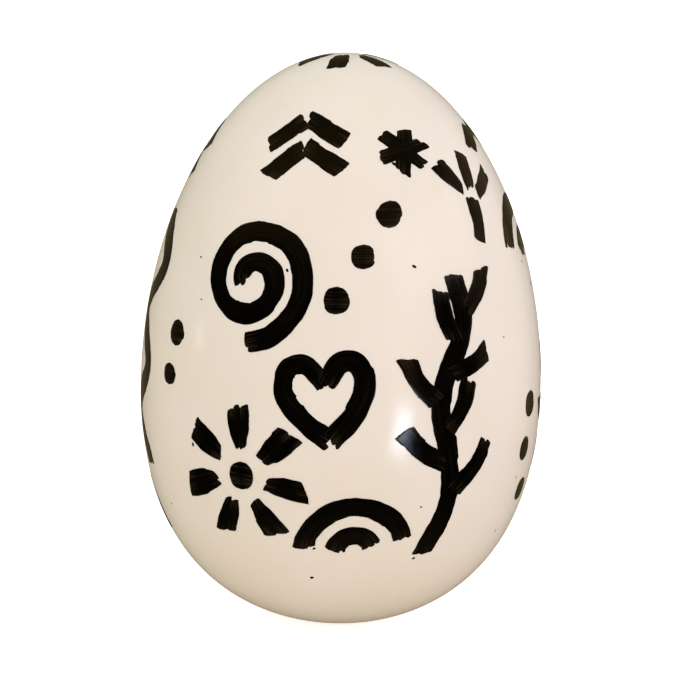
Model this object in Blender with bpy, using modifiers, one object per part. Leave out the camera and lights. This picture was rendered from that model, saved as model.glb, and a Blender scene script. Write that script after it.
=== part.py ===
# A large moulded egg of white chocolate, standing upright on its blunt end.
# Metres, +Z up. The origin is the middle of the small flat that the egg stands on.

import math

import bpy
import numpy as np

# Driving dimensions
EGG_LENGTH = 0.1807  # from the tip to the blunt pole, before the resting flat is taken off
EGG_DIAMETER = 0.1266  # across the widest ring
FLAT_RADIUS = 0.010  # the resting flat, melted level on a warm plate

# Shape of the outline. With s from -1 at the blunt pole to +1 at the tip, the half width
# of an ellipse is multiplied by 1 + TAPER s + FULLNESS s^2 + TIP_PINCH s^3.
TAPER = -0.134  # moves the belly towards the blunt end
FULLNESS = 0.095  # rounds out both ends
TIP_PINCH = -0.044  # narrows the tip and fills out the blunt end

# Facets
RING_COUNT = 50  # rings of the outline, from the tip to the edge of the flat
SEGMENT_COUNT = 84  # facets around the egg
AXIS_MERGE = 0.0001  # outline ends this close to the axis become one point
SEARCH_STEPS = 4000  # steps along the outline when looking for its widest ring and the flat's edge

# Finish
CHOCOLATE_COLOUR = (0.84, 0.72, 0.57, 1.0)
CHOCOLATE_ROUGHNESS = 0.28


def clear_scene():
    for found in list(bpy.data.objects):
        bpy.data.objects.remove(found, do_unlink=True)


def unit_half_width(angle):
    """Half width of the outline before scaling, at an angle of 0 for the blunt pole and pi for the tip."""
    s = -np.cos(angle)
    ellipse = np.sin(angle)
    return ellipse * (1 + TAPER * s + FULLNESS * s**2 + TIP_PINCH * s**3)


def outline_points():
    """The turned outline, down the outer side from the tip to the flat's edge, then in to the axis."""
    search_angles = np.linspace(0, math.pi, SEARCH_STEPS + 1)
    half_widths = unit_half_width(search_angles)
    width_scale = EGG_DIAMETER / 2 / half_widths.max()
    lower = slice(0, half_widths.argmax())
    flat_angle = np.interp(FLAT_RADIUS / width_scale, half_widths[lower], search_angles[lower])
    angles = np.linspace(math.pi, flat_angle, RING_COUNT)
    radii = width_scale * unit_half_width(angles)
    radii[0] = 0.0
    heights = EGG_LENGTH / 2 * (math.cos(flat_angle) - np.cos(angles))
    points = [(radius, 0.0, height) for radius, height in zip(radii, heights)]
    return points + [(0.0, 0.0, 0.0)]


def white_chocolate():
    material = bpy.data.materials.new("white_chocolate")
    material.use_nodes = True
    shader = material.node_tree.nodes["Principled BSDF"]
    shader.inputs["Base Color"].default_value = CHOCOLATE_COLOUR
    shader.inputs["Roughness"].default_value = CHOCOLATE_ROUGHNESS
    shader.inputs["Metallic"].default_value = 0.0
    material.diffuse_color = CHOCOLATE_COLOUR
    return material


def make_egg(collection):
    """The whole egg as one turned solid: the outline spun a full turn about Z."""
    points = outline_points()
    edges = [(i, i + 1) for i in range(len(points) - 1)]
    mesh = bpy.data.meshes.new("egg")
    mesh.from_pydata(points, edges, [])
    egg = bpy.data.objects.new("egg", mesh)
    collection.objects.link(egg)
    turn = egg.modifiers.new("turn", "SCREW")
    turn.axis = "Z"
    turn.angle = 2 * math.pi
    turn.steps = SEGMENT_COUNT
    turn.render_steps = SEGMENT_COUNT
    turn.use_merge_vertices = True
    turn.merge_threshold = AXIS_MERGE
    turn.use_smooth_shade = True
    mesh.materials.append(white_chocolate())
    return egg


def main():
    clear_scene()
    collection = bpy.data.collections.new("chocolate_egg")
    bpy.context.scene.collection.children.link(collection)
    make_egg(collection)


main()
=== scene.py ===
import math
import random
import bpy
import numpy as np
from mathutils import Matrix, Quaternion, Vector


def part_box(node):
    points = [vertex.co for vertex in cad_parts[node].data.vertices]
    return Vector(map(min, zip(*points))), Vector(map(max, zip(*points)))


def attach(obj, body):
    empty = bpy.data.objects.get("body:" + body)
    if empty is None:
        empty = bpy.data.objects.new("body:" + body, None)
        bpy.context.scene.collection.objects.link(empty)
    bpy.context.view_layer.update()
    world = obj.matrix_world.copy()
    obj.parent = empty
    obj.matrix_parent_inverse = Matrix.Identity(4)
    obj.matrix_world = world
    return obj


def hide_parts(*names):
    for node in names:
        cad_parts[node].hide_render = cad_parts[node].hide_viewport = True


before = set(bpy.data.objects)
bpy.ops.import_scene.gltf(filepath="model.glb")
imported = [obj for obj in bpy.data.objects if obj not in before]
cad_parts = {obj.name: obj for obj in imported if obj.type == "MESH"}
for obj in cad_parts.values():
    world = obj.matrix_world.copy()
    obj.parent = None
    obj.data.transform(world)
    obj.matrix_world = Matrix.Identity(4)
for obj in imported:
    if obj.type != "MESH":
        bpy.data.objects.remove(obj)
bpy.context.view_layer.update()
mm = 0.001
eggLow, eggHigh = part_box("egg")
print("frame loaded, the egg is %.1f mm tall" % (eggHigh.z / mm))


# the photograph's view: a long lens, looking slightly down on the egg
photoView = {
    "frameSide": 680,  # pixels
    "focalPixels": 2844.5,
    "sensor": 36.0,
    "nearestSeen": 0.01,
    "distance": 0.90,
    "elevation": 10.0,
    "roll": 1.2,  # the egg's tip leans a little to the right
    "eggMiddle": (341.65, 338.97),  # pixels
}

# the egg's turned outline: an ellipse whose half width swells with s,
# which runs from -1 at the blunt pole to +1 at the tip
eggForm = {
    "length": 0.1807,
    "diameter": eggHigh.x - eggLow.x,
    "taper": -0.134,
    "fullness": 0.095,
    "tipPinch": -0.044,
    "segments": 208,
    "rings": 144,
    "flatBevel": 0.0005,  # melted edge of the resting flat
    "flatBevelSteps": 3,
    "outlineSteps": 3000,
}


def swell(s):
    return 1 + eggForm["taper"] * s + eggForm["fullness"] * s**2 + eggForm["tipPinch"] * s**3


# the outline in small steps from the blunt pole up to the tip, and the way walked along it
outlineS = -np.cos(np.linspace(0, math.pi, eggForm["outlineSteps"] + 1))
outlineRadii = np.sqrt(np.maximum(0, 1 - outlineS**2)) * swell(outlineS)
outlineScale = eggForm["diameter"] / 2 / outlineRadii.max()
outlineRadii *= outlineScale
middleHeight = eggHigh.z - eggForm["length"] / 2
outlineHeights = middleHeight + outlineS * eggForm["length"] / 2
outlineWalk = np.concatenate([[0], np.cumsum(np.hypot(np.diff(outlineRadii), np.diff(outlineHeights)))])
outlineSlopeR = np.gradient(outlineRadii, outlineWalk)
outlineSlopeZ = np.gradient(outlineHeights, outlineWalk)


# points that stand lift above the egg; azimuth 0 faces the camera, walk runs up the outline
def onEgg(azimuth, walk, lift):
    radius = np.interp(walk, outlineWalk, outlineRadii)
    height = np.interp(walk, outlineWalk, outlineHeights)
    outR = np.interp(walk, outlineWalk, outlineSlopeZ)
    outZ = -np.interp(walk, outlineWalk, outlineSlopeR)
    size = np.hypot(outR, outZ)
    radius = radius + lift * outR / size
    height = height + lift * outZ / size
    return np.stack([radius * np.sin(azimuth), -radius * np.cos(azimuth), height], axis=-1)


def makeCamera():
    camera = bpy.data.objects.new("photoCamera", bpy.data.cameras.new("photoCamera"))
    bpy.context.scene.collection.objects.link(camera)
    bpy.context.scene.camera = camera
    camera.data.sensor_width = photoView["sensor"]
    camera.data.lens = photoView["focalPixels"] / photoView["frameSide"] * photoView["sensor"]
    camera.data.clip_start = photoView["nearestSeen"]
    elevation = math.radians(photoView["elevation"])
    back = Vector((0, -math.cos(elevation), math.sin(elevation)))
    turn = (-back).to_track_quat("-Z", "Y") @ Quaternion((0, 0, 1), math.radians(photoView["roll"]))
    # the egg sits a pixel or so off the middle of the frame
    pixel = photoView["distance"] / photoView["focalPixels"]
    aside = (photoView["frameSide"] / 2 - photoView["eggMiddle"][0]) * pixel
    above = (photoView["eggMiddle"][1] - photoView["frameSide"] / 2) * pixel
    aim = Vector((0, 0, middleHeight)) + turn @ Vector((aside, above, 0))
    camera.rotation_mode = "QUATERNION"
    camera.rotation_quaternion = turn
    camera.location = aim + back * photoView["distance"]


makeCamera()
print("camera placed")


def newMaterial(name):
    material = bpy.data.materials.new(name)
    material.use_nodes = True
    nodes = material.node_tree.nodes
    return material, nodes, material.node_tree.links, nodes["Principled BSDF"]


def noiseNode(nodes, links, place, size, detail, roughness=0.5):
    noise = nodes.new("ShaderNodeTexNoise")
    noise.inputs["Scale"].default_value = 1 / size
    noise.inputs["Detail"].default_value = detail
    noise.inputs["Roughness"].default_value = roughness
    links.new(place, noise.inputs["Vector"])
    return noise.outputs["Fac"]


def rangeNode(nodes, links, value, fromSpan, toSpan=(0.0, 1.0)):
    span = nodes.new("ShaderNodeMapRange")
    span.inputs["From Min"].default_value, span.inputs["From Max"].default_value = fromSpan
    span.inputs["To Min"].default_value, span.inputs["To Max"].default_value = toSpan
    links.new(value, span.inputs["Value"])
    return span.outputs["Result"]


def mathNode(nodes, links, operation, first, second):
    sums = nodes.new("ShaderNodeMath")
    sums.operation = operation
    links.new(first, sums.inputs[0])
    links.new(second, sums.inputs[1])
    return sums.outputs["Value"]


def mixNode(nodes, links, share, first, second):
    mix = nodes.new("ShaderNodeMix")
    mix.data_type = "RGBA"
    links.new(share, mix.inputs["Factor"])
    for socket, colour in ((mix.inputs["A"], first), (mix.inputs["B"], second)):
        if isinstance(colour, tuple):
            socket.default_value = colour
        else:
            links.new(colour, socket)
    return mix.outputs["Result"]


def bumpNode(nodes, links, height, distance, below=None):
    bump = nodes.new("ShaderNodeBump")
    bump.inputs["Distance"].default_value = distance
    links.new(height, bump.inputs["Height"])
    if below:
        links.new(below, bump.inputs["Normal"])
    return bump.outputs["Normal"]


# the height of each point, or its place along another axis of the object
def axisNode(nodes, links, axis):
    apart = nodes.new("ShaderNodeSeparateXYZ")
    links.new(nodes.new("ShaderNodeTexCoord").outputs["Object"], apart.inputs["Vector"])
    return apart.outputs[axis]


# the moulded surface, which the thin paint follows too
mouldSurface = {
    "waveSize": 0.030,
    "waveDetail": 1.0,
    "waveHeight": 0.00007,
    "peelSize": 0.0030,
    "peelDetail": 2.0,
    "peelHeight": 0.000003,
}


def mouldedNormal(nodes, links, place):
    waves = noiseNode(nodes, links, place, mouldSurface["waveSize"], mouldSurface["waveDetail"])
    peel = noiseNode(nodes, links, place, mouldSurface["peelSize"], mouldSurface["peelDetail"])
    waved = bumpNode(nodes, links, waves, mouldSurface["waveHeight"])
    return bumpNode(nodes, links, peel, mouldSurface["peelHeight"], waved)


# polished white chocolate: cocoa butter cream, a little yellower in broad cloudy patches
chocolateFinish = {
    "cream": (0.799, 0.723, 0.658, 1),
    "yellower": (0.778, 0.699, 0.616, 1),
    "cloudSize": 0.034,
    "cloudDetail": 3.0,
    "cloudSpan": (0.38, 0.66),
    "freckle": (0.720, 0.610, 0.500, 1),
    "freckleSize": 0.0016,
    "freckleDetail": 1.0,
    "freckleSpan": (0.70, 0.80),
    "freckleShare": (0.0, 0.35),
    "polish": (0.15, 0.20),  # roughness, from well rubbed to less so
    "polishSize": 0.012,
    "polishDetail": 4.0,
    "polishSpan": (0.3, 0.7),
    "flatDull": 0.55,  # roughness of the resting flat
    "flatHeight": 0.0006,  # the dullness fades out up to here
    "ior": 1.45,
    "glow": 0.25,  # share of light that goes through the outer millimetres
    "glowDepth": 0.0025,
    "glowReach": (1.0, 0.7, 0.45),
}


def whiteChocolate():
    finish = chocolateFinish
    material, nodes, links, shader = newMaterial("polishedWhiteChocolate")
    place = nodes.new("ShaderNodeTexCoord").outputs["Object"]
    clouds = noiseNode(nodes, links, place, finish["cloudSize"], finish["cloudDetail"])
    clouded = rangeNode(nodes, links, clouds, finish["cloudSpan"])
    cream = mixNode(nodes, links, clouded, finish["cream"], finish["yellower"])
    grains = noiseNode(nodes, links, place, finish["freckleSize"], finish["freckleDetail"])
    freckled = rangeNode(nodes, links, grains, finish["freckleSpan"], finish["freckleShare"])
    colour = mixNode(nodes, links, freckled, cream, finish["freckle"])
    links.new(colour, shader.inputs["Base Color"])
    rubbed = noiseNode(nodes, links, place, finish["polishSize"], finish["polishDetail"])
    polish = rangeNode(nodes, links, rubbed, finish["polishSpan"], finish["polish"])
    flatSpan, dullSpan = (finish["flatHeight"], 0.0), (0.0, finish["flatDull"])
    dull = rangeNode(nodes, links, axisNode(nodes, links, "Z"), flatSpan, dullSpan)
    links.new(mathNode(nodes, links, "MAXIMUM", polish, dull), shader.inputs["Roughness"])
    shader.inputs["IOR"].default_value = finish["ior"]
    shader.inputs["Subsurface Weight"].default_value = finish["glow"]
    shader.inputs["Subsurface Scale"].default_value = finish["glowDepth"]
    shader.inputs["Subsurface Radius"].default_value = finish["glowReach"]
    links.new(mouldedNormal(nodes, links, place), shader.inputs["Normal"])
    return material


# dark cocoa paint, laid on with a flat brush: nearly black, browner where it is thin
paintFinish = {
    "deep": (0.0012, 0.0008, 0.0003, 1),
    "brown": (0.0075, 0.0050, 0.0022, 1),
    "worn": (0.0400, 0.0270, 0.0150, 1),
    "streakLength": 2.2,  # in the UV's units, which are brush["uvUnit"] long
    "streakWidth": 0.055,
    "streakDetail": 3.0,
    "streakRoughness": 0.6,
    "brownSpan": (0.50, 0.78),  # of the streaks
    "wornSpan": (0.47, 0.75),
    "wornShare": (0.0, 0.9),
    "ridgeHeight": 0.000028,
    "sheen": (0.09, 0.24),  # roughness
    "sheenSize": 0.006,
    "sheenDetail": 2.0,
    "sheenSpan": (0.3, 0.7),
    "ior": 1.26,
}


def cocoaPaint():
    finish = paintFinish
    material, nodes, links, shader = newMaterial("brushedCocoaPaint")
    place = nodes.new("ShaderNodeTexCoord").outputs["Object"]
    alongStroke = nodes.new("ShaderNodeUVMap")
    alongStroke.uv_map = "UVMap"
    stretch = nodes.new("ShaderNodeMapping")
    stretch.inputs["Scale"].default_value = (1 / finish["streakLength"], 1 / finish["streakWidth"], 1)
    links.new(alongStroke.outputs["UV"], stretch.inputs["Vector"])
    stretched = stretch.outputs["Vector"]
    streaks = noiseNode(nodes, links, stretched, 1.0, finish["streakDetail"], finish["streakRoughness"])
    thin = nodes.new("ShaderNodeAttribute")
    thin.attribute_name = "thinPaint"
    # streaks show most where the brush ran dry, near the ends of a stroke
    browned = rangeNode(nodes, links, streaks, finish["brownSpan"])
    colour = mixNode(nodes, links, browned, finish["deep"], finish["brown"])
    dry = rangeNode(nodes, links, streaks, finish["wornSpan"], finish["wornShare"])
    wearing = mathNode(nodes, links, "MULTIPLY", thin.outputs["Fac"], dry)
    colour = mixNode(nodes, links, wearing, colour, finish["worn"])
    links.new(colour, shader.inputs["Base Color"])
    uneven = noiseNode(nodes, links, place, finish["sheenSize"], finish["sheenDetail"])
    sheen = rangeNode(nodes, links, uneven, finish["sheenSpan"], finish["sheen"])
    links.new(sheen, shader.inputs["Roughness"])
    shader.inputs["IOR"].default_value = finish["ior"]
    normal = mouldedNormal(nodes, links, place)
    links.new(bumpNode(nodes, links, streaks, finish["ridgeHeight"], normal), shader.inputs["Normal"])
    return material


def deselectAll():
    bpy.ops.object.select_all(action="DESELECT")


def makeEgg():
    deselectAll()
    bpy.ops.mesh.primitive_uv_sphere_add(
        segments=eggForm["segments"], ring_count=eggForm["rings"], radius=1
    )
    egg = bpy.context.object
    egg.name = "chocolateShell"
    for vertex in egg.data.vertices:
        s = max(-1.0, min(1.0, vertex.co.z))
        vertex.co.x *= outlineScale * swell(s)
        vertex.co.y *= outlineScale * swell(s)
        vertex.co.z = middleHeight + s * eggForm["length"] / 2
    bpy.ops.object.mode_set(mode="EDIT")
    bpy.ops.mesh.select_all(action="SELECT")
    bpy.ops.mesh.bisect(plane_co=(0, 0, 0), plane_no=(0, 0, 1), clear_inner=True, use_fill=True)
    # bisect leaves the cut's rim selected, which is softened
    bpy.ops.mesh.bevel(offset=eggForm["flatBevel"], segments=eggForm["flatBevelSteps"], affect="EDGES")
    bpy.ops.object.mode_set(mode="OBJECT")
    bpy.ops.object.shade_smooth()
    egg.data.materials.append(whiteChocolate())
    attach(egg, "root")
    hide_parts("egg")


makeEgg()
print("egg modelled")


# a flat decorating brush: crisp bands whose ends are slanted and tufted; in millimetres
brush = {
    "film": 0.075,  # height of dried paint above the chocolate
    "rim": 0.02,  # the same at its edges
    "rimWidth": 0.6,  # over which the film thins out
    "sunk": 0.06,  # reach of the film into the chocolate, so that no gap shows
    "layer": 0.012,  # each later stroke of a piece lies this much higher
    "rowStep": 0.42,  # between cross rows of the film
    "laneWidth": 0.42,  # between bristle lanes
    "routeStep": 0.25,  # between points of a stroke's smooth line
    "routeShares": 24,  # steps from one given point of a stroke to the next
    "leastSteps": 8,  # of a line, or of rows and lanes
    "tufts": (1, 2, 2, 3),  # an end has one of these numbers of them
    "tuftShift": 0.2,  # of a tuft's width, where tufts part
    "tuftReach": 0.75,  # how unevenly the tufts of a brush let go
    "tuftRound": 0.45,
    "tuftsTo": 1.0001,  # the last tuft takes in the brush's far edge
    "bristles": 0.13,  # how unevenly single bristles let go
    "bristleSpots": 14,
    "waver": ((0.17, 17), (0.06, 5.5)),  # height and length of the edges' waves
    "waverVaries": (0.8, 1.25),
    "ragged": (0.055, 0.75),  # height and spacing of an edge's fine marks
    "raggedBeyond": 10,  # fine marks run on past the ends
    "nick": 0.42,  # small steps in an edge, where the hand moved on
    "nickSpacing": 18,
    "nickCount": (0, 2),  # times as many as the spacing gives
    "nickPlace": (0.1, 0.9),  # share of the length
    "nickRun": 0.5,
    "anyPhase": (0, 7),  # radians
    "swellShare": 0.07,  # slow change of a stroke's width
    "swellLength": 45,
    "dabFoot": 0.55,  # a dab's width at its foot, as a share
    "dabSwell": 0.45,  # what it gains
    "dabReach": 1.6,  # how early it has gained it
    "roundCalm": 0.8,  # share of the unevenness that round ends lose
    "slant": (0.1, 0.45),  # of an end, as a share of the width
    "dryLength": 4.0,  # the paint gets thin this far from an end
    "twoPassWidth": 6.0,  # a mark as wide and as long as this is laid down in two passes
    "twoPassLength": 12.0,
    "passWidth": (0.66, 0.76),  # share of the mark's width
    "passSlant": 0.7,
    "passAside": (0.85, 1.15),
    "uvUnit": 10,
    "uvSpread": (0, 50),  # each stroke takes its streaks from another place
    "crease": 50,  # degrees, from which an edge of the film stays sharp
}
paintMaterial = cocoaPaint()


# an even-stepped smooth line through a stroke's few points, and its length
def smoothRoute(points):
    points = np.array(points, float)
    if len(points) == 2:
        points = np.array([points[0], points.mean(axis=0), points[1]])
    ends = [2 * points[0] - points[1], *points, 2 * points[-1] - points[-2]]
    fine = []
    share = np.linspace(0, 1, brush["routeShares"], endpoint=False)[:, None]
    for a, b, c, d in zip(ends, ends[1:], ends[2:], ends[3:]):
        fine.append(0.5 * (2 * b + (c - a) * share + (2 * a - 5 * b + 4 * c - d) * share**2
                           + (3 * b - a - 3 * c + d) * share**3))
    fine = np.concatenate([*fine, points[-1:]])
    walk = np.concatenate([[0], np.cumsum(np.hypot(*np.diff(fine, axis=0).T))])
    even = np.linspace(0, walk[-1], max(brush["leastSteps"], int(walk[-1] / brush["routeStep"])))
    return np.stack([np.interp(even, walk, fine[:, k]) for k in (0, 1)], axis=1), walk[-1]


# the waver of one edge of a stroke, with a small step here and there
def edgeLine(walk, length, draw):
    wave = np.zeros_like(walk)
    for height, span in brush["waver"]:
        span *= draw.uniform(*brush["waverVaries"])
        wave += height * np.sin(walk * 2 * math.pi / span + draw.uniform(*brush["anyPhase"]))
    for _ in range(round(length / brush["nickSpacing"] * draw.uniform(*brush["nickCount"]))):
        start = draw.uniform(*brush["nickPlace"]) * length
        wave += brush["nick"] * draw.uniform(-1, 1) * np.clip((walk - start) / brush["nickRun"], 0, 1)
    height, spacing = brush["ragged"]
    spots = np.arange(-brush["raggedBeyond"], length + brush["raggedBeyond"], spacing)
    return wave + np.interp(walk, spots, [draw.uniform(-height, height) for _ in spots])


# how far each lane of the brush runs past the end of a stroke: a slant, parted into tufts
def tuftedEnd(across, draw, slant, calm):
    tufts, shift = draw.choice(brush["tufts"]), brush["tuftShift"]
    cuts = [(k + draw.uniform(-shift, shift)) / tufts for k in range(1, tufts)]
    cuts = [0, *cuts, brush["tuftsTo"]]
    offset = slant * (across - 0.5)
    for low, high in zip(cuts, cuts[1:]):
        middle = 2 * (across - low) / (high - low) - 1
        tuft = draw.uniform(-1, 1) * brush["tuftReach"] - brush["tuftRound"] * np.abs(middle)**3
        offset += calm * np.where((across >= low) & (across < high), tuft, 0)
    spots = np.linspace(0, 1, brush["bristleSpots"])
    bristles = [draw.uniform(-1, 1) * brush["bristles"] for _ in spots]
    return offset + calm * np.interp(across, spots, bristles)


# gives an open film its thickness, in millimetres, down from its upper side
def thicken(film, thickness):
    bpy.ops.object.modifier_add(type="SOLIDIFY")
    wall = film.modifiers[-1]
    wall.thickness = thickness * mm
    wall.offset = -1
    bpy.ops.object.modifier_apply(modifier=wall.name)


# one pass of the brush: a thin closed film along the route
def paintFilm(route, width, place, draw, layer, roundEnds=0.0, slants=(0, 0), aside=0.0, form="band"):
    line, length = smoothRoute(route)
    rows = max(brush["leastSteps"], round(length / brush["rowStep"]))
    lanes = max(brush["leastSteps"], round(width / brush["laneWidth"]))
    deselectAll()
    bpy.ops.mesh.primitive_grid_add(x_subdivisions=rows, y_subdivisions=lanes, size=1)
    film = bpy.context.object
    flat = np.empty(len(film.data.vertices) * 3)
    film.data.vertices.foreach_get("co", flat)
    along, across = flat.reshape(-1, 3)[:, 0] + 0.5, flat.reshape(-1, 3)[:, 1] + 0.5
    # where each point lies along the stroke
    calm = 1 - brush["roundCalm"] * roundEnds
    bulge = roundEnds * width / 2 * np.sqrt(np.maximum(0, 1 - (2 * across - 1)**2))
    start = -bulge - tuftedEnd(across, draw, slants[0], calm)
    end = length + bulge + tuftedEnd(across, draw, slants[1], calm)
    walk = start + along * (end - start)
    # and how far to its side, with each edge wavering by itself
    share = np.clip(walk / length, 0, 1)
    slow = walk / brush["swellLength"] * 2 * math.pi + draw.uniform(*brush["anyPhase"])
    breadth = 1 + brush["swellShare"] * np.sin(slow)
    if form == "dab":
        gained = np.sin(math.pi / 2 * np.clip(share * brush["dabReach"], 0, 1))
        breadth = breadth * (brush["dabFoot"] + brush["dabSwell"] * gained)
    lower, upper = edgeLine(walk, length, draw), edgeLine(walk, length, draw)
    side = -width / 2 * breadth + lower + across * (width * breadth + upper - lower) + aside
    # flat place, running on straight past the ends
    steps = np.linspace(0, length, len(line))
    slope = np.gradient(line, steps, axis=0)
    inside = np.clip(walk, 0, length)
    x, y = (np.interp(inside, steps, line[:, k]) for k in (0, 1))
    dx, dy = (np.interp(inside, steps, slope[:, k]) for k in (0, 1))
    turned = np.hypot(dx, dy)
    dx, dy = dx / turned, dy / turned
    x = x + dx * (walk - inside) - dy * side
    y = y + dy * (walk - inside) + dx * side
    # the film thins out at its edges
    toEdge = np.minimum(across, 1 - across) * width * breadth
    toEnd = np.minimum(along * (end - start), (1 - along) * (end - start))
    near = np.clip(np.minimum(toEdge, toEnd) / brush["rimWidth"], 0, 1)
    rise = brush["rim"] + (brush["film"] - brush["rim"]) * (3 * near**2 - 2 * near**3)
    lift = rise + brush["layer"] * layer
    film.data.vertices.foreach_set("co", place(x, y, lift).ravel())
    # the UV runs along the stroke
    offset = draw.uniform(*brush["uvSpread"])
    loops = np.empty(len(film.data.loops), np.int32)
    film.data.loops.foreach_get("vertex_index", loops)
    uv = np.stack([walk + offset, side + 2 * offset], axis=1)[loops] / brush["uvUnit"]
    film.data.uv_layers[0].data.foreach_set("uv", uv.astype(np.float32).ravel())
    thin = film.data.attributes.new("thinPaint", "FLOAT", "POINT")
    dry = np.clip(1 - toEnd / brush["dryLength"], 0, 1)
    thin.data.foreach_set("value", dry.astype(np.float32))
    thicken(film, brush["film"] + brush["layer"] * layer + brush["sunk"])
    return film


# one mark as a hand makes it: a wide one takes two passes side by side, which don't quite agree
def brushMark(mark, place, draw, layer):
    route, width = mark["route"], mark["width"]
    options = {k: mark[k] for k in ("roundEnds", "form") if k in mark}
    length = smoothRoute(route)[1]
    slants = [draw.choice((-1, 1)) * draw.uniform(*brush["slant"]) * width for _ in range(2)]
    if options or width < brush["twoPassWidth"] or length < brush["twoPassLength"]:
        if "roundEnds" in options:
            slants = (0, 0)
        return [paintFilm(route, width, place, draw, layer, slants=slants, **options)]
    films = []
    for k, side in enumerate((-0.5, 0.5)):
        passWidth = width * draw.uniform(*brush["passWidth"])
        passSlants = [slant * brush["passSlant"] for slant in slants]
        aside = side * (width - passWidth) * draw.uniform(*brush["passAside"])
        films.append(paintFilm(route, passWidth, place, draw, layer + k, slants=passSlants, aside=aside))
    return films


# joins films to one piece and gives it its finish
def finishPaint(films, name):
    deselectAll()
    for film in films:
        film.select_set(True)
    piece = films[0]
    bpy.context.view_layer.objects.active = piece
    if len(films) > 1:
        bpy.ops.object.join()
    piece.name = name
    piece.data.name = name
    piece.data.materials.append(paintMaterial)
    bpy.ops.object.mode_set(mode="EDIT")
    bpy.ops.mesh.select_all(action="SELECT")
    bpy.ops.mesh.normals_make_consistent(inside=False)
    bpy.ops.object.mode_set(mode="OBJECT")
    bpy.ops.object.shade_smooth_by_angle(angle=math.radians(brush["crease"]))
    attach(piece, "root")


# all marks of one motif, as one piece; marks are flat, x to the right and y up, in mm from its middle
def paintMotif(name, azimuth, height, seed, marks, turn=0, onTip=False):
    draw = random.Random(seed)
    walkHere = np.interp(height * mm, outlineHeights, outlineWalk)
    cosTurn, sinTurn = math.cos(math.radians(turn)), math.sin(math.radians(turn))

    def place(x, y, lift):
        x, y = (x * cosTurn - y * sinTurn) * mm, (x * sinTurn + y * cosTurn) * mm
        if onTip:
            away = np.arctan2(x, -y) + math.radians(azimuth)
            return onEgg(away, outlineWalk[-1] - np.hypot(x, y), lift * mm)
        walk = walkHere + y
        radius = np.interp(walk, outlineWalk, outlineRadii)
        return onEgg(math.radians(azimuth) + x / radius, walk, lift * mm)

    films = []
    for mark in marks:
        films += brushMark(mark, place, draw, len(films))
    finishPaint(films, name)


def polar(radius, angle):
    return (radius * math.cos(math.radians(angle)), radius * math.sin(math.radians(angle)))


arcStep = 18  # degrees between the points of an arc
leastArcSteps = 3


def arcRoute(radius, fromAngle, toAngle):
    count = max(leastArcSteps, round(abs(toAngle - fromAngle) / arcStep))
    return [polar(radius, angle) for angle in np.linspace(fromAngle, toAngle, count + 1)]


dotForm = {"halfRun": 0.5, "roundEnds": 0.85, "uneven": 0.06}


def dot(x, y, width):
    run = dotForm["halfRun"]
    return {"route": [(x - run, y), (x + run, y)], "width": width, "roundEnds": dotForm["roundEnds"]}


def dots(spots, width):
    return [dot(x, y, width * (1 + dotForm["uneven"] * (-1)**k)) for k, (x, y) in enumerate(spots)]


# leaves to both sides of a stem; the places are shares of its length
leafForm = {
    "first": 0.11,
    "last": 0.87,
    "look": 6,  # steps of the stem's line that give its heading there
    "spread": 48,  # degrees from the stem
    "bend": 18,  # degrees, back towards it
    "shrink": 0.28,  # towards the tip
    "aside": 0.2,  # foot beside the stem's middle, as a share of its width
    "lower": 0.55,  # both halves of the leaf, as shares of its length
    "upper": 0.5,
    "width": 0.88,  # share of the stem's
}


# a stem with leaves, which are short strokes that start on it
def sprig(stem, leaves, leaf, width, firstLeaf=leafForm["first"]):
    line = smoothRoute(stem)[0]
    marks = [{"route": stem, "width": width}]
    for k in range(leaves):
        share = firstLeaf + (leafForm["last"] - firstLeaf) * k / (leaves - 1)
        spot = int(share * (len(line) - 1))
        ahead = line[spot + leafForm["look"]] - line[spot]
        heading = math.degrees(math.atan2(ahead[1], ahead[0]))
        side = 1 if k % 2 else -1
        reach = leaf * (1.0 - leafForm["shrink"] * share)
        spread = leafForm["spread"]
        first = line[spot] + polar(width * leafForm["aside"], heading + side * 90)
        middle = first + polar(reach * leafForm["lower"], heading + side * spread)
        last = middle + polar(reach * leafForm["upper"], heading + side * (spread - leafForm["bend"]))
        marks.append({"route": [first, middle, last], "width": width * leafForm["width"]})
    return marks


spiralSteps = 14  # points in a full turn


def spiral(turns, inner, outer, width, start, way=1):
    count = round(turns * spiralSteps)
    shares = [k / count for k in range(count + 1)]
    route = [polar(inner + (outer - inner) * share, start + way * 360 * turns * share) for share in shares]
    return [{"route": route, "width": width}]


petalLean = 3  # degrees


def daisy(petals, inner, outer, width, middle, start=90):
    marks = []
    for k in range(petals):
        angle = start + 360 * k / petals
        route = [polar(inner, angle), polar(outer, angle + petalLean)]
        marks.append({"route": route, "width": width, "form": "dab"})
    if middle:
        marks.append(dot(0, 0, middle))
    return marks


rainbowSpan = 165  # degrees


def rainbow(radii, width):
    left, right = 90 + rainbowSpan / 2, 90 - rainbowSpan / 2
    return [{"route": arcRoute(radius, left, right), "width": width} for radius in radii]


humpSteps = 8  # points in one hump of a wave


def wave(length, humps, height, width):
    xs = np.linspace(-length / 2, length / 2, round(humps * humpSteps) + 1)
    route = [(x, height * math.sin(2 * math.pi * humps * x / length)) for x in xs]
    return [{"route": route, "width": width}]


chevronTop = (0.8, 0.6)  # mm from the end of its first stroke to the start of its second


def chevrons(count, reach, rise, gap, width):
    marks = []
    for k in range(count):
        marks.append({"route": [(-reach, k * gap), (0, rise + k * gap)], "width": width})
        top = (chevronTop[0], rise + k * gap + chevronTop[1])
        marks.append({"route": [top, (reach, k * gap)], "width": width})
    return marks


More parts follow.
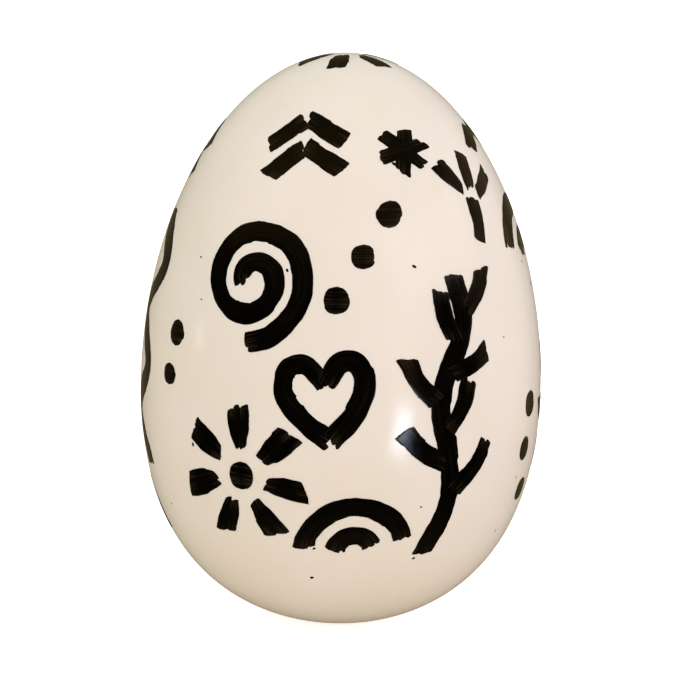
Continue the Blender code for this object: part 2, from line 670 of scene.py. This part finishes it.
# in shares of the cup's height, of the stem's length and of the stroke's width
tulipForm = {
    "petal": [(0, 0.02), (-0.27, 0.26), (-0.36, 0.62), (-0.45, 1.08)],
    "petalWidth": 1.15,
    "middlePetal": 0.98,
    "middleLean": 0.3,  # mm
    "middleWidth": 1.1,
    "stemTop": 0.1,
    "stemBend": 0.06,
    "stemWidth": 0.85,
    "leafFeet": ((1, 0.80), (-1, 0.92)),  # side, and how far down the stem
    "leafBend": (0.42, 0.12),
    "leafTip": (0.72, 0.48),
    "leafWidth": 0.95,
}


# three petals, which run together at their feet, on a stem with two leaves
def tulip(cup, stem, width):
    form = tulipForm
    stemTop = (0, cup * form["stemTop"])
    stalk = [(0, -stem), (form["stemBend"] * stem, -stem / 2), stemTop]
    marks = [{"route": stalk, "width": width * form["stemWidth"]}]
    for side in (1, -1):
        petal = [(side * x * cup, y * cup) for x, y in form["petal"]]
        marks.append({"route": petal, "width": width * form["petalWidth"]})
    middle = [stemTop, (form["middleLean"], cup * form["middlePetal"])]
    marks.append({"route": middle, "width": width * form["middleWidth"]})
    for side, foot in form["leafFeet"]:
        leaf = [(0, -stem * foot)]
        for out, up in (form["leafBend"], form["leafTip"]):
            leaf.append((side * cup * out, -stem * (foot - up)))
        marks.append({"route": leaf, "width": width * form["leafWidth"]})
    return marks


budForm = {
    "stemWidth": 0.85,
    "stemBend": 0.6,  # mm
    "stemTop": 1,  # mm
    "petalsFrom": 0.75,  # of the stroke's width, from the bud's foot
    "spread": 46,  # degrees between petals
}


def bud(petal, stem, width):
    stalk = [(0, -stem), (budForm["stemBend"], -stem / 2), (0, budForm["stemTop"])]
    marks = [{"route": stalk, "width": width * budForm["stemWidth"]}]
    inner = width * budForm["petalsFrom"]
    for angle in (90 + budForm["spread"], 90, 90 - budForm["spread"]):
        route = [polar(inner, angle), polar(inner + petal, angle)]
        marks.append({"route": route, "width": width, "form": "dab"})
    return marks


# strokes that cross in one point, the first of them upright
def star(reach, width, strokes=3):
    angles = [90 + 180 * k / strokes for k in range(strokes)]
    return [{"route": [polar(-reach, angle), polar(reach, angle)], "width": width} for angle in angles]


def heart(size, width):
    half = [(0, -0.50), (-0.30, -0.22), (-0.50, 0.12), (-0.44, 0.40), (-0.22, 0.45), (0, 0.20)]
    return [{"route": [(side * x * size, y * size) for x, y in half], "width": width} for side in (1, -1)]


sunForm = {
    "arc": (185, -5),  # degrees
    "raysFrom": 12,
    "raysOver": 156,
    "rayGap": 0.95,  # of the stroke's width
    "rayWidth": 0.85,
}


def halfSun(radius, rays, ray, width):
    marks = [{"route": arcRoute(radius, *sunForm["arc"]), "width": width}]
    inner = radius + width * sunForm["rayGap"]
    for k in range(rays):
        angle = sunForm["raysFrom"] + sunForm["raysOver"] * k / (rays - 1)
        route = [polar(inner, angle), polar(inner + ray, angle)]
        marks.append({"route": route, "width": width * sunForm["rayWidth"]})
    return marks


diamondWidth = 0.8  # share of its height


def diamond(half, width):
    corners = [(0, -half), (half * diamondWidth, 0), (0, half), (-half * diamondWidth, 0)]
    marks = [{"route": [a, b], "width": width} for a, b in zip(corners, corners[1:] + corners[:1])]
    return marks + [dot(0, 0, width)]


# simple folk motifs all round; azimuth in degrees to the right of the camera, the rest in millimetres
motifs = [
    # facing the camera
    {"name": "sprigFront", "azimuth": 32, "height": 81, "turn": -4, "seed": 11,
     "marks": sprig(stem=[(-1, -50), (3, -28), (-4, 0), (3, 22), (0, 38)], leaves=7, leaf=19, width=6.8,
                    firstLeaf=0.25)},
    {"name": "spiralFront", "azimuth": -28, "height": 116, "seed": 12,
     "marks": spiral(turns=1.8, inner=2.8, outer=18.5, width=6.3, start=200, way=-1)},
    {"name": "daisyFront", "azimuth": -28, "height": 57, "seed": 13,
     "marks": daisy(petals=7, inner=8.5, outer=21.5, width=7.4, middle=8.5)},
    {"name": "heartFront", "azimuth": -4, "height": 82, "turn": 8, "seed": 15,
     "marks": heart(size=24.5, width=6.4)},
    {"name": "rainbowFront", "azimuth": 5, "height": 35, "turn": 6, "seed": 14,
     "marks": rainbow(radii=(5.5, 15.2), width=6.4)},
    {"name": "dotsFront", "azimuth": 5, "height": 124, "seed": 16,
     "marks": dots(spots=[(-7, -13), (1, 0), (9, 13)], width=7.6)},
    {"name": "chevronsFront", "azimuth": -16, "height": 147, "turn": 8, "seed": 17,
     "marks": chevrons(count=2, reach=12, rise=8.5, gap=10, width=5.8)},
    {"name": "starFront", "azimuth": 25, "height": 154, "turn": -14, "seed": 19,
     "marks": star(reach=8, width=4.8)},
    {"name": "budFront", "azimuth": 51, "height": 138, "turn": -10, "seed": 22,
     "marks": bud(petal=12, stem=12, width=6)},
    {"name": "dotsFrontLeft", "azimuth": -54, "height": 87, "seed": 18,
     "marks": dots(spots=[(0, 10), (-2, -3)], width=7)},
    {"name": "waveLeft", "azimuth": -77, "height": 92, "turn": 88, "seed": 21,
     "marks": wave(length=80, humps=2.5, height=5.5, width=7.6)},
    # right side
    {"name": "rainbowRight", "azimuth": 84, "height": 118, "turn": -10, "seed": 31,
     "marks": rainbow(radii=(7, 18), width=7)},
    {"name": "daisyRight", "azimuth": 100, "height": 72, "seed": 32,
     "marks": daisy(petals=8, inner=9.5, outer=24.5, width=7.6, middle=9)},
    {"name": "dotsRight", "azimuth": 67, "height": 57, "seed": 33,
     "marks": dots(spots=[(1, 18), (-1, 4), (3, -10)], width=7.4)},
    {"name": "chevronsRight", "azimuth": 103, "height": 23, "seed": 34,
     "marks": chevrons(count=2, reach=14, rise=8, gap=9.5, width=6.2)},
    {"name": "dotsRightTop", "azimuth": 115, "height": 130, "seed": 35,
     "marks": dots(spots=[(-4, 8), (3, -5)], width=7)},
    {"name": "chevronsRightTop", "azimuth": 80, "height": 153, "turn": 4, "seed": 36,
     "marks": chevrons(count=1, reach=10, rise=7, gap=9, width=5.8)},
    # back
    {"name": "sprigBack", "azimuth": 145, "height": 88, "turn": 5, "seed": 41,
     "marks": sprig(stem=[(4, -50), (-4, -24), (3, 4), (-3, 28), (2, 50)], leaves=8, leaf=19, width=7)},
    {"name": "spiralBack", "azimuth": 191, "height": 114, "seed": 42,
     "marks": spiral(turns=2.1, inner=2.8, outer=22, width=6.6, start=20)},
    {"name": "halfSunBack", "azimuth": 193, "height": 38, "turn": -4, "seed": 43,
     "marks": halfSun(radius=12.5, rays=6, ray=11, width=7)},
    {"name": "dotsBack", "azimuth": 179, "height": 79, "seed": 44,
     "marks": dots(spots=[(-8, -3), (4, 1), (16, -2)], width=7)},
    {"name": "chevronsBack", "azimuth": 178, "height": 147, "seed": 45,
     "marks": chevrons(count=2, reach=11, rise=7.5, gap=9.5, width=5.8)},
    # left side
    {"name": "tulipLeft", "azimuth": 235, "height": 80, "turn": 4, "seed": 51,
     "marks": tulip(cup=21, stem=40, width=6.8)},
    {"name": "diamondLeft", "azimuth": 236, "height": 128, "turn": -8, "seed": 54,
     "marks": diamond(half=15, width=6)},
    {"name": "chevronsLeft", "azimuth": 266, "height": 143, "turn": -6, "seed": 52,
     "marks": chevrons(count=2, reach=10, rise=7.5, gap=9.5, width=5.8)},
    {"name": "rainbowLeft", "azimuth": 268, "height": 30, "turn": -4, "seed": 53,
     "marks": rainbow(radii=(6, 16.5), width=6.6)},
    {"name": "dotsLeft", "azimuth": 262, "height": 86, "seed": 55,
     "marks": dots(spots=[(-1, -16), (1, -2), (-2, 12)], width=7.4)},
    # over the tip
    {"name": "daisyTip", "azimuth": 0, "height": 0, "onTip": True, "seed": 61,
     "marks": daisy(petals=6, inner=5.5, outer=16.5, width=6.4, middle=0, start=75)},
]
for motif in motifs:
    paintMotif(**motif)
print("%d motifs painted" % len(motifs))


# tiny spatters of the same paint, as a loaded brush leaves
spatter = {
    "count": 34,
    "size": (0.22, 0.55),  # radius, in mm
    "longer": (1, 1.8),  # times its width
    "film": 0.05,
    "rimDrop": 0.8,  # share of the film's height that is gone at the rim
    "sunk": 0.06,
    "corners": 10,
    "lowest": 18,  # height, in mm
    "highest": 165,
    "seed": 7,
}


def paintSpatter():
    draw = random.Random(spatter["seed"])
    drops = []
    for _ in range(spatter["count"]):
        azimuth = math.radians(draw.uniform(0, 360))
        height = draw.uniform(spatter["lowest"], spatter["highest"]) * mm
        walk = np.interp(height, outlineHeights, outlineWalk)
        radius = np.interp(walk, outlineWalk, outlineRadii)
        size = draw.uniform(*spatter["size"])
        longer = draw.uniform(*spatter["longer"])
        turn = draw.uniform(0, math.pi)
        deselectAll()
        bpy.ops.mesh.primitive_circle_add(vertices=spatter["corners"], radius=1, fill_type="TRIFAN")
        drop = bpy.context.object
        for vertex in drop.data.vertices:
            x, y = vertex.co.x * size * longer * mm, vertex.co.y * size * mm
            x, y = x * math.cos(turn) - y * math.sin(turn), x * math.sin(turn) + y * math.cos(turn)
            rim = math.hypot(vertex.co.x, vertex.co.y)
            lift = spatter["film"] * (1 - spatter["rimDrop"] * rim) * mm
            vertex.co = onEgg(azimuth + x / radius, walk + y, lift)
        thicken(drop, spatter["film"] + spatter["sunk"])
        drops.append(drop)
    finishPaint(drops, "paintSpatter")


paintSpatter()
print("spatter painted")


studio = {
    "floorSide": 14.0,
    "floorColour": (0.9, 0.9, 0.9, 1),
    "floorGlow": 0.62,
    "backdropRadius": 6.8,
    "backdropGlow": 1.05,
    "backdropShine": (1, 1, 1, 1),
    "wallsRadius": 6.0,
    "wallsShine": (1.0, 0.74, 0.36, 1),
    "wallsGlow": 0.19,  # what polished places mirror where no softbox is
    # the walls are dark in a wide band in front of the egg; where that ends and the full glow begins
    "darkBand": (("Z", (1.6, 3.4)), ("Z", (-3.1, -5.1)), ("Y", (0.3, 2.7))),
    "domeSegments": 48,
    "domeRings": 24,
    "domeColour": (0, 0, 0, 1),
    "matt": 0.9,  # roughness
    "bounceSide": 4.0,
    "bounceDepth": 0.001,  # below the floor that the camera sees
    "bounceColour": (0.60, 0.52, 0.40, 1),
    "bounceShine": (0.95, 1.0, 0.96, 1),
    "bounceGlow": 0.335,
    "roomColour": (0.99, 1.0, 0.99, 1),
    "roomStrength": 0.861,
}


def showOnlyTo(thing, camera=False, glossy=False):
    thing.visible_camera = camera
    thing.visible_glossy = glossy
    thing.visible_diffuse = False
    thing.visible_transmission = False
    thing.visible_shadow = False


def stageMaterial(name, colour, shine, strength):
    material, nodes, links, shader = newMaterial(name)
    shader.inputs["Base Color"].default_value = colour
    shader.inputs["Roughness"].default_value = studio["matt"]
    shader.inputs["Specular IOR Level"].default_value = 0.0
    shader.inputs["Emission Color"].default_value = shine
    shader.inputs["Emission Strength"].default_value = strength
    return material


# a flat board that lies on or just below the ground
def makeBoard(name, side, height, colour, shine, strength):
    deselectAll()
    bpy.ops.mesh.primitive_plane_add(size=side, location=(0, 0, height))
    board = bpy.context.object
    board.name = name
    board.data.materials.append(stageMaterial(name, colour, shine, strength))
    return board


# a round room, evenly bright
def makeDome(name, radius, shine, strength):
    deselectAll()
    bpy.ops.mesh.primitive_uv_sphere_add(
        segments=studio["domeSegments"], ring_count=studio["domeRings"], radius=radius
    )
    dome = bpy.context.object
    dome.name = name
    dome.data.materials.append(stageMaterial(name, studio["domeColour"], shine, strength))
    return dome


def darkenFront(walls):
    tree = walls.data.materials[0].node_tree
    nodes, links, full = tree.nodes, tree.links, (0.0, studio["wallsGlow"])
    lifts = []
    for axis, span in studio["darkBand"]:
        lifts.append(rangeNode(nodes, links, axisNode(nodes, links, axis), span, full))
    glow = lifts[0]
    for lift in lifts[1:]:
        glow = mathNode(nodes, links, "MAXIMUM", glow, lift)
    links.new(glow, nodes["Principled BSDF"].inputs["Emission Strength"])


def makeStage():
    backdropShine = studio["backdropShine"]
    floor = makeBoard("paleFloor", studio["floorSide"], 0, studio["floorColour"],
                      backdropShine, studio["floorGlow"])
    showOnlyTo(floor, camera=True)
    backdrop = makeDome("paleBackdrop", studio["backdropRadius"], backdropShine, studio["backdropGlow"])
    showOnlyTo(backdrop, camera=True)
    walls = makeDome("dimWalls", studio["wallsRadius"], studio["wallsShine"], studio["wallsGlow"])
    showOnlyTo(walls, glossy=True)
    darkenFront(walls)
    bounce = makeBoard("bounceBoard", studio["bounceSide"], -studio["bounceDepth"], studio["bounceColour"],
                       studio["bounceShine"], studio["bounceGlow"])
    bounce.visible_camera = False
    bounce.visible_glossy = False


# the lamp and its halo are mirrored in one spot at the lower right
lampSpot = {"direction": (35.3, -13.7), "aim": (0.0184, -0.0605, 0.0727), "twist": -11}

# softboxes: direction is azimuth to the right of the camera and elevation, seen from the egg's middle
softboxes = [
    {"name": "windowRight", "direction": (79, 13), "distance": 1.2, "size": (2.4, 1.2), "radiance": 0.455,
     "colour": (0.57, 0.57, 1.0), "glossy": False},
    {"name": "windowGleam", "direction": (108, 10), "distance": 1.2, "size": (1.2, 1.2), "radiance": 0.38,
     "colour": (1.0, 0.68, 0.36), "diffuse": False},
    {"name": "windowPane", "direction": (60, 26), "distance": 1.2, "size": (1.25, 0.40), "radiance": 1.0,
     "colour": (0.98, 0.76, 0.97), "diffuse": False},
    {"name": "windowSlit", "direction": (35, 5), "distance": 1.2, "size": (0.28, 0.40), "radiance": 0.5,
     "colour": (1.0, 0.70, 0.30), "diffuse": False},
    {"name": "ceilingGleam", "direction": (-25, 52), "distance": 1.2, "size": (3.0, 0.9), "radiance": 0.23,
     "colour": (1.0, 0.57, 0.05), "diffuse": False},
    {"name": "fillFront", "direction": (-10, 12), "distance": 1.6, "size": (1.4, 1.4), "radiance": 0.505,
     "colour": (1.0, 0.89, 0.76), "glossy": False},
    {"name": "fillFrontRight", "direction": (25, 5), "distance": 1.4, "size": (1.2, 1.2), "radiance": 0.603,
     "colour": (1.0, 0.77, 0.92), "glossy": False},
    {"name": "fillTop", "direction": (0, 85), "distance": 1.2, "size": (1.4, 1.4), "radiance": 0.593,
     "colour": (0.90, 1.0, 0.81), "glossy": False},
    {"name": "fillBack", "direction": (180, 15), "distance": 1.6, "size": (2.0, 1.4), "radiance": 0.35,
     "colour": (0.95, 1.0, 0.98), "glossy": False},
    {"name": "fillBackLeft", "direction": (-150, 8), "distance": 1.6, "size": (1.0, 1.4), "radiance": 0.45,
     "colour": (0.80, 1.0, 1.0), "glossy": False},
    {"name": "lampGlint", **lampSpot, "distance": 0.14, "size": (0.020, 0.036), "radiance": 12.0,
     "colour": (0.70, 0.78, 1.0), "diffuse": False},
    {"name": "lampHalo", **lampSpot, "distance": 0.145, "size": (0.037, 0.053), "radiance": 4.2,
     "colour": (0.78, 0.84, 1.0), "diffuse": False},
    {"name": "doorStreak", "direction": (-90, 1), "distance": 0.9, "size": (0.08, 0.05), "radiance": 4.6,
     "colour": (1.0, 1.0, 0.90), "diffuse": False, "aim": (-0.0425, -0.0443, 0.0983), "twist": 12},
]


def makeSoftbox(name, direction, distance, size, radiance, colour, diffuse=True, glossy=True,
                aim=(0, 0, middleHeight), twist=0):
    data = bpy.data.lights.new(name, "AREA")
    data.shape = "RECTANGLE"
    data.size, data.size_y = size
    data.energy = radiance * math.pi * size[0] * size[1]
    data.color = colour
    light = bpy.data.objects.new(name, data)
    bpy.context.scene.collection.objects.link(light)
    azimuth, elevation = (math.radians(angle) for angle in direction)
    level = math.cos(elevation)
    out = Vector((math.sin(azimuth) * level, -math.cos(azimuth) * level, math.sin(elevation)))
    light.location = Vector(aim) + out * distance
    light.rotation_mode = "QUATERNION"
    facing = (-out).to_track_quat("-Z", "Y")
    light.rotation_quaternion = facing @ Quaternion((0, 0, 1), math.radians(twist))
    light.visible_camera = False
    light.visible_diffuse = diffuse
    light.visible_glossy = glossy


def makeLights():
    world = bpy.data.worlds.new("softRoom")
    bpy.context.scene.world = world
    world.use_nodes = True
    room = world.node_tree.nodes["Background"]
    room.inputs["Color"].default_value = studio["roomColour"]
    room.inputs["Strength"].default_value = studio["roomStrength"]
    world.cycles_visibility.glossy = False
    for softbox in softboxes:
        makeSoftbox(**softbox)


makeStage()
print("stage set")
makeLights()
bpy.context.scene.view_settings.view_transform = "Standard"
print("lights placed")
